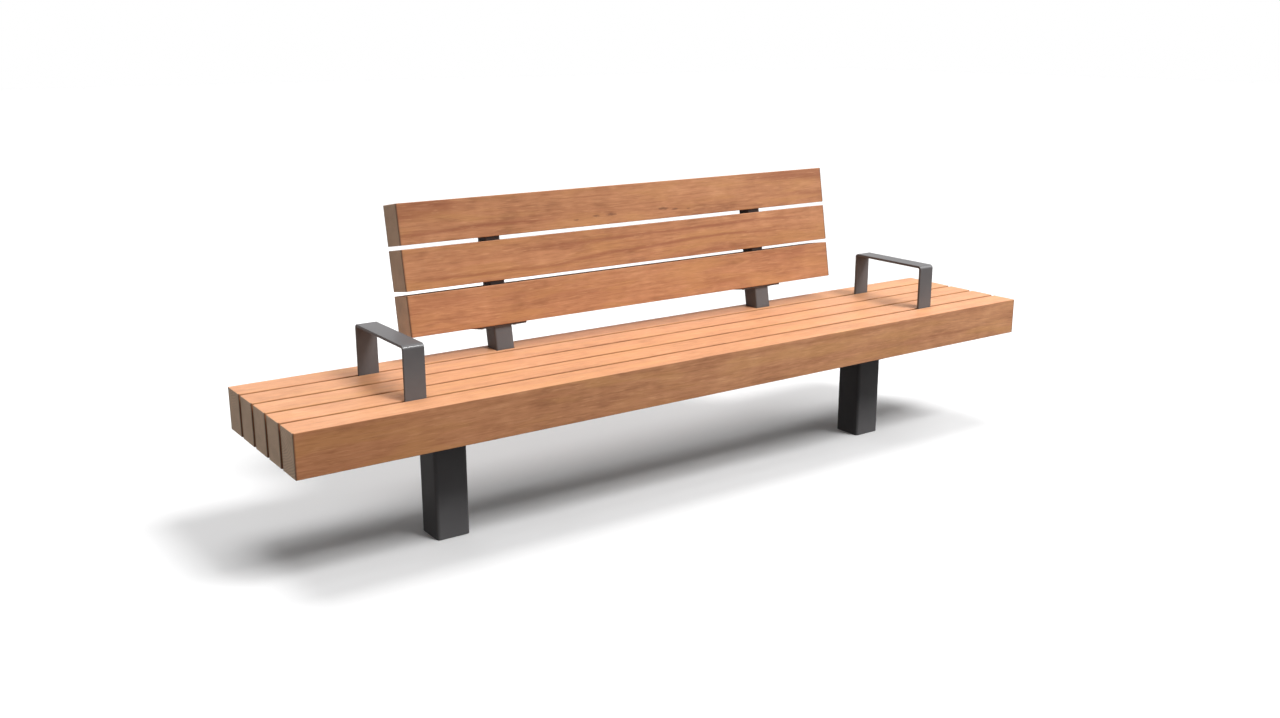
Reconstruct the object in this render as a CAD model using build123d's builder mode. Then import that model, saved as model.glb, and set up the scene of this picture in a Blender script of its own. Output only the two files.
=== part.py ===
from build123d import *
import os
from math import cos, radians, sin, tan

# Park bench: heavy timber beams on two square steel posts, with a leaning backrest and two armrests.
# Millimetres. The origin is on the ground, midway between the posts.
# +X runs along the bench, +Y to the back, +Z up. Left and right are as a viewer in front sees them.

os.makedirs("parts", exist_ok=True)

# Timber: one beam section serves the seat and the backrest
beam_width = 88.0
beam_height = 118.0
beam_edge_radius = 2.0
seat_length = 2600.0
seat_height = 450.0
seat_beam_count = 5
back_length = 1600.0
back_beam_count = 3
back_beam_gap = 12.0
back_lean = 10.0
back_clear = 67.0

# Armrests: flat bar, bent, standing in the gaps between the outer seat beams
arm_thickness = 8.0
arm_width = 60.0
arm_rise = 145.0
arm_inner_bend = 4.0
arm_side_clear = 2.0
arm_to_head_plate = 22.0
arm_screw_spacing = 32.0

# Posts, with their plates and gussets
post_spacing = 1600.0
post_size = 100.0
post_wall = 5.0
post_corner = 10.0
foot_thickness = 10.0
anchor_spacing = 50.0
anchor_hole = 14.0
head_thickness = 10.0
head_overhang = 40.0
head_access = 60.0
gusset_thickness = 8.0
gusset_drop = 60.0
gusset_nose = 12.0
gusset_setback = 26.0

# Back supports: bracket and rib under the seat, socket, upright, collar and flange
bracket_thickness = 8.0
bracket_width = 120.0
bracket_to_head_plate = 150.0
bracket_screw_inset = 15.0
bracket_lip = 8.0
rib_thickness = 8.0
rib_setback = 80.0
rib_nose = 15.0
socket_size = 60.0
socket_wall = 4.0
socket_corner = 6.0
socket_drop = 60.0
upright_wall = 4.0
upright_corner = 6.0
upright_foot_lift = 6.0
upright_top_engagement = 85.0
flange_thickness = 6.0
flange_width = 160.0
flange_lip = 3.0

# All plates: cropped corners, a margin past the screws, and the outer screws set in, out of sight
plate_crop = 4.0
plate_margin = 16.0
outer_screw_inset = 12.0

# Fasteners, drawn with few flat sides: screws and their holes, then the bolts seen behind the back
screw_sides = 8
bolt_sides = 16
coach_diameter = 10.0
coach_length = 80.0
coach_flats = 17.0
coach_head = 7.0
arm_screw_diameter = 8.0
arm_screw_length = 60.0
arm_screw_flats = 13.0
arm_screw_head = 5.5
flange_screw_diameter = 6.0
flange_screw_length = 50.0
flange_screw_flats = 10.0
flange_screw_head = 4.0
back_bolt_diameter = 8.0
back_bolt_length = 21.0
back_bolt_head = 13.0
back_bolt_head_height = 8.0
back_bolt_key = 6.0
back_bolt_key_depth = 4.0
back_bolt_timber = 8.0
back_washer = 17.0
back_washer_thickness = 1.6
counterbore = 20.0
cross_bolt_diameter = 10.0
cross_bolt_flats = 16.0
cross_bolt_head = 6.4
cross_nut_height = 8.4
cross_bolt_end = 4.0

# Clearances
weld_gap = 0.2
slide_clear = 1.0
mortise_clear = 1.5
knee_clear = 0.5
hole_clear = 0.5
pilot_clear = 0.1
pilot_end = 2.0

# Rows of seat beams from front to rear, and the levels under them
beam_gap = arm_thickness + 2 * arm_side_clear
seat_pitch = beam_width + beam_gap
seat_rows = [(n - (seat_beam_count - 1) / 2) * seat_pitch for n in range(seat_beam_count)]
front_row = seat_rows[0]
rear_row = seat_rows[-1]
screw_rows = [front_row + outer_screw_inset, *seat_rows[1:-1], rear_row - outer_screw_inset]
seat_underside = seat_height - beam_height
plate_front = screw_rows[0] - plate_margin
head_underside = seat_underside - head_thickness
bracket_underside = seat_underside - bracket_thickness
tab_underside = seat_underside - arm_thickness

# Places along the bench
side_names = ("left", "right")
post_x = post_spacing / 2
head_width = post_size + 2 * head_overhang
head_screw_offset = (post_size + head_overhang) / 2
back_x = post_x - head_width / 2 - bracket_to_head_plate - bracket_width / 2
bracket_screw_offset = socket_size / 2 + bracket_screw_inset
arm_x = post_x + head_width / 2 + arm_to_head_plate + arm_width / 2
arm_screw_offset = arm_screw_spacing / 2
flange_screw_offset = (socket_size + flange_width) / 4
post_centres = (-post_x, post_x)
back_centres = (-back_x, back_x)
arm_centres = (-arm_x, arm_x)

# The back leans from a knee just above the seat: x along the bench, y rearwards, z up along the lean
lean = radians(back_lean)
knee_height = seat_height + socket_size / 2 * tan(lean / 2) + knee_clear
knee = (0, rear_row, knee_height)
rearward = Vector(0, cos(lean), -sin(lean))
back_frame = Plane(knee, x_dir=(1, 0, 0), z_dir=(0, sin(lean), cos(lean)))
mitre = Plane(knee, x_dir=(1, 0, 0), z_dir=(0, sin(lean / 2), cos(lean / 2)))
back_rear = Plane(knee + rearward * (beam_width / 2), x_dir=(1, 0, 0), z_dir=-rearward)
back_feet = [back_clear + n * (beam_height + back_beam_gap) for n in range(back_beam_count)]
back_bolt_heights = [foot + beam_height / 2 for foot in back_feet]

# Tubes that slide into each other, and the mortises that they pass through
upright_size = socket_size - 2 * socket_wall - 2 * slide_clear
seat_mortise = socket_size + 2 * mortise_clear
back_mortise = upright_size + 2 * mortise_clear
counterbore_depth = (beam_width - back_mortise) / 2 - back_bolt_timber
socket_foot = bracket_underside - socket_drop
cross_bolt_height = bracket_underside - socket_drop / 2
cross_bolt_point = (rear_row, cross_bolt_height)
flange_underside = back_clear - flange_thickness


def keep(part, node):
    """Label a finished piece and write its file."""
    part.label = node
    export_step(part, f"parts/{node}.step")


def square_tube(size, wall, corner):
    """Draw a square tube's hollow section in the open sketch."""
    bore = size - 2 * wall
    RectangleRounded(size, size, corner)
    Rectangle(bore, bore, mode=Mode.SUBTRACT)


def pairs(centres, offset, rows):
    """Points for two fasteners on each row, either side of each centre along the bench."""
    return [(centre + step, row) for centre in centres for step in (-offset, offset) for row in rows]


def drill(entry, points, diameter, depth, sides=screw_sides):
    """Cut fastener holes into the open part, from an entry plane that looks into it."""
    with BuildSketch(entry) as holes:
        with Locations(*points):
            RegularPolygon(diameter / 2, sides, major_radius=False)
    extrude(holes.sketch, amount=depth, mode=Mode.SUBTRACT)


def hex_screws(entry, points, diameter, length, flats, head):
    """Hexagon-head screws driven in through an entry plane, their heads outside it."""
    with BuildPart() as screws:
        with BuildSketch(entry):
            with Locations(*points):
                RegularPolygon(diameter / 2, screw_sides)
        extrude(amount=length)
        with BuildSketch(entry):
            with Locations(*points):
                RegularPolygon(flats / 2, 6, major_radius=False)
        extrude(amount=-head)
    return screws.part


# Seat beams: long edges rounded, pilot holes below, square mortises for the sockets in the rear one
underside = Plane.XY.offset(seat_underside)
coach_pilot = coach_diameter + 2 * pilot_clear
arm_pilot = arm_screw_diameter + 2 * pilot_clear
for number, (row, screw_row) in enumerate(zip(seat_rows, screw_rows), start=1):
    head_points = pairs(post_centres, head_screw_offset, [screw_row])
    bracket_points = pairs(back_centres, bracket_screw_offset, [screw_row])
    with BuildPart() as seat_beam:
        with BuildSketch(Plane.YZ.offset(-seat_length / 2)):
            with Locations((row, seat_height - beam_height / 2)):
                RectangleRounded(beam_width, beam_height, beam_edge_radius)
        extrude(amount=seat_length)
        drill(underside, head_points, coach_pilot, coach_length - head_thickness + pilot_end)
        drill(underside, bracket_points, coach_pilot, coach_length - bracket_thickness + pilot_end)
        if row in (front_row, rear_row):
            arm_points = pairs(arm_centres, arm_screw_offset, [row])
            drill(underside, arm_points, arm_pilot, arm_screw_length - arm_thickness + pilot_end)
        if row == rear_row:
            with BuildSketch(underside):
                with Locations(*[(x, row) for x in back_centres]):
                    Rectangle(seat_mortise, seat_mortise)
            extrude(amount=beam_height, mode=Mode.SUBTRACT)
    keep(seat_beam.part, f"seat_beam_{number}")

# Backrest beams: mortised over the uprights, the top one blind, counterbored behind for the bolts
back_bolt_hole = back_bolt_diameter + 2 * hole_clear
flange_pilot = flange_screw_diameter + 2 * pilot_clear
for number, foot in enumerate(back_feet, start=1):
    section = Plane((-back_length / 2, rear_row, knee_height), x_dir=rearward, z_dir=(1, 0, 0))
    is_top = number == back_beam_count
    mortise_depth = upright_top_engagement + mortise_clear if is_top else beam_height
    bolt_points = [(x, foot + beam_height / 2) for x in back_centres]
    with BuildPart() as back_beam:
        with BuildSketch(section):
            with Locations((0, foot + beam_height / 2)):
                RectangleRounded(beam_width, beam_height, beam_edge_radius)
        extrude(amount=back_length)
        with BuildSketch(back_frame.offset(foot)):
            with Locations(*[(x, 0) for x in back_centres]):
                Rectangle(back_mortise, back_mortise)
        extrude(amount=mortise_depth, mode=Mode.SUBTRACT)
        drill(back_rear, bolt_points, counterbore, counterbore_depth, bolt_sides)
        drill(back_rear, bolt_points, back_bolt_hole, beam_width / 2)
        if number == 1:
            flange_points = pairs(back_centres, flange_screw_offset, [0])
            pilot_depth = flange_screw_length - flange_thickness + pilot_end
            drill(back_frame.offset(foot), flange_points, flange_pilot, pilot_depth)
    keep(back_beam.part, f"back_beam_{number}")

for name, centre in zip(side_names, post_centres):

    # Post: square tube, standing on the ground, under the head plate
    with BuildPart() as post:
        with BuildSketch(Plane.XY):
            with Locations((centre, 0)):
                square_tube(post_size, post_wall, post_corner)
        extrude(amount=head_underside)
    keep(post.part, f"{name}_post")

    # Foot plate: welded inside the post, flush with its foot, with two ground anchor holes
    foot_size = post_size - 2 * post_wall - 2 * weld_gap
    with BuildPart() as foot_plate:
        with BuildSketch(Plane.XY):
            with Locations((centre, 0)):
                Rectangle(foot_size, foot_size)
                with GridLocations(0, anchor_spacing, 1, 2):
                    Circle(anchor_hole / 2, mode=Mode.SUBTRACT)
        extrude(amount=foot_thickness)
    keep(foot_plate.part, f"{name}_foot_plate")

    # Head plate: carries the beams, with a hole over the tube to reach the anchors through
    head_depth = 2 * abs(plate_front)
    head_points = pairs([centre], head_screw_offset, screw_rows)
    with BuildPart() as head_plate:
        with BuildSketch(Plane.XY.offset(head_underside)) as outline:
            with Locations((centre, 0)):
                Rectangle(head_width, head_depth)
            chamfer(outline.vertices(), plate_crop)
            with Locations((centre, 0)):
                Circle(head_access / 2, mode=Mode.SUBTRACT)
        extrude(amount=head_thickness)
        drill(Plane.XY.offset(head_underside), head_points, coach_diameter + 2 * hole_clear, head_thickness)
    keep(head_plate.part, f"{name}_head_plate")

    # Gussets: triangular plates from the post's front and rear faces up to the head plate
    gusset_reach = head_depth / 2 - gusset_setback
    for end, facing in (("front", -1), ("rear", 1)):
        root = facing * post_size / 2
        tip = facing * gusset_reach
        with BuildPart() as gusset:
            with BuildSketch(Plane.YZ.offset(centre - gusset_thickness / 2)):
                with BuildLine():
                    Polyline(
                        (root, head_underside - gusset_nose),
                        (root + facing * gusset_nose, head_underside),
                        (tip, head_underside),
                        (tip, head_underside - gusset_nose),
                        (root + facing * gusset_nose, head_underside - gusset_drop),
                        (root, head_underside - gusset_drop),
                        close=True,
                    )
                make_face()
            extrude(amount=gusset_thickness)
        keep(gusset.part, f"{name}_{end}_gusset")

for name, centre in zip(side_names, back_centres):

    # Back bracket: plate under all seat beams, with a square hole that the socket is welded into
    bracket_rear = rear_row + socket_size / 2 + bracket_lip
    bracket_bottom = Plane.XY.offset(bracket_underside)
    bracket_points = pairs([centre], bracket_screw_offset, screw_rows)
    socket_hole = socket_size + 2 * weld_gap
    with BuildPart() as bracket:
        with BuildSketch(bracket_bottom) as outline:
            with Locations((centre, (plate_front + bracket_rear) / 2)):
                Rectangle(bracket_width, bracket_rear - plate_front)
            chamfer(outline.vertices(), plate_crop)
            with Locations((centre, rear_row)):
                Rectangle(socket_hole, socket_hole, mode=Mode.SUBTRACT)
        extrude(amount=bracket_thickness)
        drill(bracket_bottom, bracket_points, coach_diameter + 2 * hole_clear, bracket_thickness)
    keep(bracket.part, f"{name}_back_bracket")

    # Rib: tapered stiffener on edge below the bracket, from the socket forwards
    rib_root = rear_row - socket_size / 2
    rib_tip = front_row + rib_setback
    with BuildPart() as rib:
        with BuildSketch(Plane.YZ.offset(centre - rib_thickness / 2)):
            with BuildLine():
                Polyline(
                    (rib_root, bracket_underside),
                    (rib_tip, bracket_underside),
                    (rib_tip, bracket_underside - rib_nose),
                    (rib_root, bracket_underside - socket_drop),
                    close=True,
                )
            make_face()
        extrude(amount=rib_thickness)
    keep(rib.part, f"{name}_bracket_rib")

    # Socket: upright square tube through the rear beam's mortise, mitred at the knee
    cross_hole = cross_bolt_diameter + 2 * hole_clear
    cross_entry = Plane.YZ.offset(centre - socket_size)
    with BuildPart() as socket:
        with BuildSketch(Plane.XY.offset(socket_foot)):
            with Locations((centre, rear_row)):
                square_tube(socket_size, socket_wall, socket_corner)
        extrude(amount=knee_height - socket_foot + socket_size)
        split(bisect_by=mitre, keep=Keep.BOTTOM)
        drill(cross_entry, [cross_bolt_point], cross_hole, 2 * socket_size)
    keep(socket.part, f"{name}_socket")

    # Upright: one tube mitred at the knee, sliding into the socket and carrying the backrest beams
    upright_foot = socket_foot + upright_foot_lift
    upright_top = back_feet[-1] + upright_top_engagement
    bolt_points = [(centre, height) for height in back_bolt_heights]
    with BuildPart() as upright:
        with BuildLine():
            Polyline(
                (centre, rear_row, upright_foot),
                (centre, rear_row, knee_height),
                back_frame.from_local_coords((centre, 0, upright_top)),
            )
        with BuildSketch(Plane.XY.offset(upright_foot)):
            with Locations((centre, rear_row)):
                square_tube(upright_size, upright_wall, upright_corner)
        sweep(transition=Transition.RIGHT)
        drill(cross_entry, [cross_bolt_point], cross_hole, 2 * socket_size)
        drill(back_rear, bolt_points, back_bolt_diameter + 2 * pilot_clear, beam_width / 2)
    keep(upright.part, f"{name}_upright")

    # Collar: the leaning sleeve seen above the seat, mitred onto the socket
    with BuildPart() as collar:
        with BuildSketch(back_frame.offset(-socket_size)):
            with Locations((centre, 0)):
                square_tube(socket_size, socket_wall, socket_corner)
        extrude(amount=flange_underside + socket_size)
        split(bisect_by=mitre, keep=Keep.TOP)
    keep(collar.part, f"{name}_collar")

    # Flange: plate on the collar that the lowest backrest beam stands on, screwed up into it
    flange_bottom = back_frame.offset(flange_underside)
    flange_hole = upright_size + 2 * slide_clear
    flange_points = pairs([centre], flange_screw_offset, [0])
    with BuildPart() as flange:
        with BuildSketch(flange_bottom) as outline:
            with Locations((centre, 0)):
                Rectangle(flange_width, socket_size + 2 * flange_lip)
            chamfer(outline.vertices(), plate_crop)
            with Locations((centre, 0)):
                Rectangle(flange_hole, flange_hole, mode=Mode.SUBTRACT)
        extrude(amount=flange_thickness)
        drill(flange_bottom, flange_points, flange_screw_diameter + 2 * hole_clear, flange_thickness)
    keep(flange.part, f"{name}_flange")

# Armrests: flat bar bent to a hoop, its legs down through the gaps and turned out under the outer beams
arm_bend = arm_inner_bend + arm_thickness / 2
arm_leg = rear_row - seat_pitch / 2
arm_tab = rear_row + plate_margin
tab_level = seat_underside - arm_thickness / 2
bar_level = seat_height + arm_rise - arm_thickness / 2
for name, centre in zip(side_names, arm_centres):
    arm_points = pairs([centre], arm_screw_offset, (front_row, rear_row))
    with BuildPart() as armrest:
        with BuildSketch(Plane.YZ.offset(centre - arm_width / 2)):
            with BuildLine():
                FilletPolyline(
                    (-arm_tab, tab_level),
                    (-arm_leg, tab_level),
                    (-arm_leg, bar_level),
                    (arm_leg, bar_level),
                    (arm_leg, tab_level),
                    (arm_tab, tab_level),
                    radius=arm_bend,
                )
            trace(line_width=arm_thickness)
        extrude(amount=arm_width)
        arm_hole = arm_screw_diameter + 2 * hole_clear
        drill(Plane.XY.offset(tab_underside), arm_points, arm_hole, arm_thickness)
    keep(armrest.part, f"{name}_armrest")

# Coach screws: up through the head plates, the brackets and the armrest feet into the beams
coach_sizes = (coach_diameter, coach_length, coach_flats, coach_head)
arm_sizes = (arm_screw_diameter, arm_screw_length, arm_screw_flats, arm_screw_head)
head_points = pairs(post_centres, head_screw_offset, screw_rows)
bracket_points = pairs(back_centres, bracket_screw_offset, screw_rows)
arm_points = pairs(arm_centres, arm_screw_offset, (front_row, rear_row))
keep(hex_screws(Plane.XY.offset(head_underside), head_points, *coach_sizes), "seat_screws")
keep(hex_screws(Plane.XY.offset(bracket_underside), bracket_points, *coach_sizes), "bracket_screws")
keep(hex_screws(Plane.XY.offset(tab_underside), arm_points, *arm_sizes), "armrest_screws")

# Flange screws: up through the flanges, square to the lean, into the lowest backrest beam
flange_sizes = (flange_screw_diameter, flange_screw_length, flange_screw_flats, flange_screw_head)
flange_points = pairs(back_centres, flange_screw_offset, [0])
keep(hex_screws(back_frame.offset(flange_underside), flange_points, *flange_sizes), "flange_screws")

# Back bolts: cap-head bolts with washers, sunk in the rear faces, threaded into the uprights
bolt_points = [(x, height) for x in back_centres for height in back_bolt_heights]
with BuildPart() as back_washers:
    with BuildSketch(back_rear.offset(counterbore_depth)):
        with Locations(*bolt_points):
            RegularPolygon(back_washer / 2, bolt_sides)
            RegularPolygon(back_bolt_hole / 2, screw_sides, major_radius=False, mode=Mode.SUBTRACT)
    extrude(amount=-back_washer_thickness)
keep(back_washers.part, "back_washers")

bolt_seat = back_rear.offset(counterbore_depth - back_washer_thickness)
with BuildPart() as back_bolts:
    with BuildSketch(bolt_seat):
        with Locations(*bolt_points):
            RegularPolygon(back_bolt_head / 2, bolt_sides)
    extrude(amount=-back_bolt_head_height)
    with BuildSketch(bolt_seat.offset(-back_bolt_head_height)):
        with Locations(*bolt_points):
            RegularPolygon(back_bolt_key / 2, 6, major_radius=False)
    extrude(amount=back_bolt_key_depth, mode=Mode.SUBTRACT)
    with BuildSketch(bolt_seat):
        with Locations(*bolt_points):
            RegularPolygon(back_bolt_diameter / 2, screw_sides)
    extrude(amount=back_bolt_length)
keep(back_bolts.part, "back_bolts")

# Socket bolts and nuts: one through each socket and upright, below the bracket
cross_bolt_shank = socket_size + cross_nut_height + cross_bolt_end
with BuildPart() as socket_bolts:
    for centre in back_centres:
        with BuildSketch(Plane.YZ.offset(centre + socket_size / 2)):
            with Locations(cross_bolt_point):
                RegularPolygon(cross_bolt_flats / 2, 6, major_radius=False)
        extrude(amount=cross_bolt_head)
        with BuildSketch(Plane.YZ.offset(centre + socket_size / 2)):
            with Locations(cross_bolt_point):
                RegularPolygon(cross_bolt_diameter / 2, screw_sides)
        extrude(amount=-cross_bolt_shank)
keep(socket_bolts.part, "socket_bolts")

cross_nut_hole = cross_bolt_diameter + 2 * pilot_clear
with BuildPart() as socket_nuts:
    for centre in back_centres:
        with BuildSketch(Plane.YZ.offset(centre - socket_size / 2)):
            with Locations(cross_bolt_point):
                RegularPolygon(cross_bolt_flats / 2, 6, major_radius=False)
                RegularPolygon(cross_nut_hole / 2, screw_sides, major_radius=False, mode=Mode.SUBTRACT)
        extrude(amount=-cross_nut_height)
keep(socket_nuts.part, "socket_nuts")
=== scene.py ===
import math

import bmesh
import bpy
from mathutils import Matrix, Vector


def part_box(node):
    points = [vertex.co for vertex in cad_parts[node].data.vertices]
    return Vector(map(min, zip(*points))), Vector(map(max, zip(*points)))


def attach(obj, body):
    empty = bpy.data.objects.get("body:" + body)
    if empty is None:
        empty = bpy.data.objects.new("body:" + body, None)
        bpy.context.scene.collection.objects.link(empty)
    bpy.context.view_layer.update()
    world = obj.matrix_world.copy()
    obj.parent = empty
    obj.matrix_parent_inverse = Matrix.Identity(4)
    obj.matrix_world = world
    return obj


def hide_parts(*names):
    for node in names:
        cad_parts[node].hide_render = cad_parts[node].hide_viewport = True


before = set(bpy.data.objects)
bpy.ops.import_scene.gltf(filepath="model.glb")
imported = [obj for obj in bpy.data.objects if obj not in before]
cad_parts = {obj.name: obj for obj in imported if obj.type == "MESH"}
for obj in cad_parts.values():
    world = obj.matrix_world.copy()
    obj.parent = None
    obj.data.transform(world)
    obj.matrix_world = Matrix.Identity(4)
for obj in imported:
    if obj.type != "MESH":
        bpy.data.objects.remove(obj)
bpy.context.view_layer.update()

# Posts
# Two legs of square steel tube, each with a foot plate welded inside its foot, a head plate on top and a
# gusset plate front and rear. They are cut, welded up and then powder coated a satin dark grey.


class Socket:
    """A node socket that takes part in sums: each operator adds a Math node to the socket's tree."""

    def __init__(self, socket):
        self.socket = socket

    @staticmethod
    def feed(slot, value):
        """Link a socket to a slot, or write a plain value into it."""
        if isinstance(value, Socket):
            slot.id_data.links.new(value.socket, slot)
        else:
            slot.default_value = value

    @staticmethod
    def node(tree, kind, settings=None, inputs=None, output=0):
        """Add any node: its settings first, then the values or links of its sockets, by name or number."""
        made = tree.nodes.new(kind)
        for name, setting in (settings or {}).items():
            if name == "stops":
                ramp = made.color_ramp.elements
                while len(ramp) < len(setting):
                    ramp.new(1.0)
                for element, (position, colour) in zip(ramp, setting):
                    element.position = position
                    element.color = colour
            else:
                setattr(made, name, setting)
        for name, value in (inputs or {}).items():
            Socket.feed(made.inputs[name], value)
        return Socket(made.outputs[output])

    def other(self, output):
        """Another output of the same node."""
        return Socket(self.socket.node.outputs[output])

    def math(self, operation, first, second=0.0):
        settings = {"operation": operation}
        return Socket.node(self.socket.id_data, "ShaderNodeMath", settings, {0: first, 1: second})

    def __add__(self, value):
        return self.math("ADD", self, value)

    __radd__ = __add__

    def __sub__(self, value):
        return self.math("SUBTRACT", self, value)

    def __rsub__(self, value):
        return self.math("SUBTRACT", value, self)

    def __mul__(self, value):
        return self.math("MULTIPLY", self, value)

    __rmul__ = __mul__

    def __truediv__(self, value):
        return self.math("DIVIDE", self, value)

    def __pow__(self, value):
        return self.math("POWER", self, value)


def new_material(name):
    """A new material, its node tree and its main shader's inputs."""
    material = bpy.data.materials.new(name)
    material.use_nodes = True
    return material, material.node_tree, material.node_tree.nodes["Principled BSDF"].inputs


def ramp(tree, share, *stops):
    """A colour from a list of stops by a share from 0 to 1."""
    return Socket.node(tree, "ShaderNodeValToRGB", {"stops": stops}, {"Fac": share})


def speckle(tree, place, scale, detail):
    """Noise with a number of cells per metre."""
    inputs = {"Vector": place, "Scale": scale, "Detail": detail}
    return Socket.node(tree, "ShaderNodeTexNoise", inputs=inputs)


def emboss(tree, surface, strength, depth, height):
    """Give a surface fine relief from a height."""
    inputs = {"Strength": strength, "Distance": depth, "Height": height}
    Socket.feed(surface["Normal"], Socket.node(tree, "ShaderNodeBump", inputs=inputs))


def powder_coat():
    """Satin powder coat: fine orange peel, with tone and gloss a little uneven."""
    material, tree, surface = new_material("powder_coat")
    place = Socket.node(tree, "ShaderNodeTexCoord", output="Object")
    cloud = speckle(tree, place, scale=7.0, detail=5.0)
    peel = speckle(tree, place, scale=480.0, detail=2.0)
    grain = speckle(tree, place, scale=1500.0, detail=1.0)
    share = 0.62 * cloud + 0.38 * grain
    tone = ramp(tree, share, (0.3, (0.119, 0.115, 0.117, 1)), (0.7, (0.167, 0.161, 0.164, 1)))
    Socket.feed(surface["Base Color"], tone)
    Socket.feed(surface["Roughness"], 0.36 + 0.14 * cloud)
    surface["Specular IOR Level"].default_value = 0.045

    # Hands rub the tops of the armrests a little and their upper bends to a shine
    top_shine = 0.15
    ahead = Socket.node(
        tree,
        "ShaderNodeSeparateXYZ",
        inputs={0: Socket.node(tree, "ShaderNodeTexCoord", output="Normal")},
        output="Y",
    )
    upward = ahead.other("Z")
    slant = upward.math("MINIMUM", upward, ahead.math("ABSOLUTE", ahead))
    inputs = {"Value": slant, "From Min": 0.25, "From Max": 0.6}
    rubbed = Socket.node(tree, "ShaderNodeMapRange", {"interpolation_type": "SMOOTHSTEP"}, inputs)
    Socket.feed(surface["Coat Weight"], rubbed.math("MAXIMUM", rubbed, top_shine * upward))
    surface["Coat Roughness"].default_value = 0.25
    emboss(tree, surface, strength=0.14, depth=0.0003, height=peel)
    return material


def apply_modifiers(piece):
    """Turn a piece and its modifiers into one plain mesh."""
    evaluated = piece.evaluated_get(bpy.context.evaluated_depsgraph_get())
    mesh = bpy.data.meshes.new_from_object(evaluated)
    piece.modifiers.clear()
    piece.data = mesh


def shade(piece, crease_angle):
    """Smooth shading up to an angle, with the flats left flat."""
    piece.data.shade_smooth()
    piece.data.set_sharp_from_angle(angle=math.radians(crease_angle))
    weighted = piece.modifiers.new("flats", "WEIGHTED_NORMAL")
    weighted.keep_sharp = True
    apply_modifiers(piece)


def settle(piece, slot, *nodes):
    """Fix a finished piece to the bench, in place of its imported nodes."""
    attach(piece, "root")
    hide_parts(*nodes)


def eased_steel(node, easing):
    """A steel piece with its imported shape, its arrises eased as the coat leaves them."""
    merge_distance = 0.00001
    flat_angle = math.radians(0.5)
    arris_angle = math.radians(40)
    work = bmesh.new()
    work.from_mesh(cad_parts[node].data)
    bmesh.ops.remove_doubles(work, verts=work.verts, dist=merge_distance)
    bmesh.ops.dissolve_limit(work, angle_limit=flat_angle, verts=work.verts, edges=work.edges)
    arrises = [edge for edge in work.edges if edge.is_manifold and edge.calc_face_angle() > arris_angle]
    bmesh.ops.bevel(
        work, geom=arrises, offset=easing, segments=2, profile=0.5, affect="EDGES", clamp_overlap=True
    )
    mesh = bpy.data.meshes.new(node)
    work.to_mesh(mesh)
    work.free()
    mesh.materials.clear()
    mesh.materials.append(coat)
    piece = bpy.data.objects.new(node + "_coated", mesh)
    bpy.context.scene.collection.objects.link(piece)
    shade(piece, crease_angle=50)
    settle(piece, "steelwork", node)


sides = ("left", "right")
coat = powder_coat()
tube_easing = 0.0012
plate_easing = 0.0010
for side in sides:
    eased_steel(f"{side}_post", tube_easing)
    for plate in ("foot_plate", "head_plate", "front_gusset", "rear_gusset"):
        eased_steel(f"{side}_{plate}", plate_easing)

# Back brackets
# A plate under all five seat beams on each side, with a tapered rib on edge below it and a square socket
# tube welded through its rear end. The same coat covers them.

for side in sides:
    for plate in ("back_bracket", "bracket_rib", "socket"):
        eased_steel(f"{side}_{plate}", plate_easing)

# Welds
# Fillet welds join posts, gussets, ribs and sockets to their plates. Each is a hand-laid bead with even
# ripples, brushed clean and coated with the rest.


def new_tree(name, sizes):
    """An empty geometry tree with named inputs, and the sockets that they give."""
    tree = bpy.data.node_groups.new(name, "GeometryNodeTree")
    tree.interface.new_socket("Geometry", in_out="INPUT", socket_type="NodeSocketGeometry")
    for label, kind in sizes.items():
        tree.interface.new_socket(label, in_out="INPUT", socket_type="NodeSocket" + kind)
    tree.interface.new_socket("Geometry", in_out="OUTPUT", socket_type="NodeSocketGeometry")
    entry = tree.nodes.new("NodeGroupInput")
    return tree, {socket.name: Socket(socket) for socket in entry.outputs if socket.name}


def close_tree(tree, shape, material):
    """End a geometry tree: everything made real and given its material."""
    real = Socket.node(tree, "GeometryNodeRealizeInstances", inputs={0: shape})
    painted = Socket.node(tree, "GeometryNodeSetMaterial", inputs={"Geometry": real, "Material": material})
    Socket.feed(tree.nodes.new("NodeGroupOutput").inputs[0], painted)


def grow(name, tree, sizes, points=((0, 0, 0),), edges=()):
    """Run a geometry tree on a few points or lines, and keep the result as a plain mesh."""
    host = bpy.data.meshes.new(name)
    host.from_pydata(points, edges, [])
    piece = bpy.data.objects.new(name, host)
    bpy.context.scene.collection.objects.link(piece)
    modifier = piece.modifiers.new("shape", "NODES")
    modifier.node_group = tree
    for item in tree.interface.items_tree:
        if item.in_out == "INPUT" and item.name in sizes:
            modifier[item.identifier] = sizes[item.name]
    apply_modifiers(piece)
    return piece


def weld_tree():
    """A rippled bead along each line of the host."""
    tree, size = new_tree("weld_bead", {"Leg": "Float", "Ripple": "Float", "Material": "Material"})
    steps_per_ripple = 4
    ripple_depth = 0.16
    line = Socket.node(tree, "GeometryNodeMeshToCurve", inputs={0: size["Geometry"]})
    step = size["Ripple"] / steps_per_ripple
    inputs = {"Curve": line, "Length": step}
    line = Socket.node(tree, "GeometryNodeResampleCurve", {"mode": "LENGTH"}, inputs)
    run = Socket.node(tree, "GeometryNodeSplineParameter", output="Length")
    turn = run / size["Ripple"] * math.tau
    swell = 1 + ripple_depth * turn.math("SINE", turn)
    inputs = {"Resolution": 8, "Radius": size["Leg"]}
    ring = Socket.node(tree, "GeometryNodeCurvePrimitiveCircle", inputs=inputs)
    bead = Socket.node(
        tree,
        "GeometryNodeCurveToMesh",
        inputs={"Curve": line, "Profile Curve": ring, "Scale": swell, "Fill Caps": True},
    )
    close_tree(tree, bead, size["Material"])
    return tree


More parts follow.
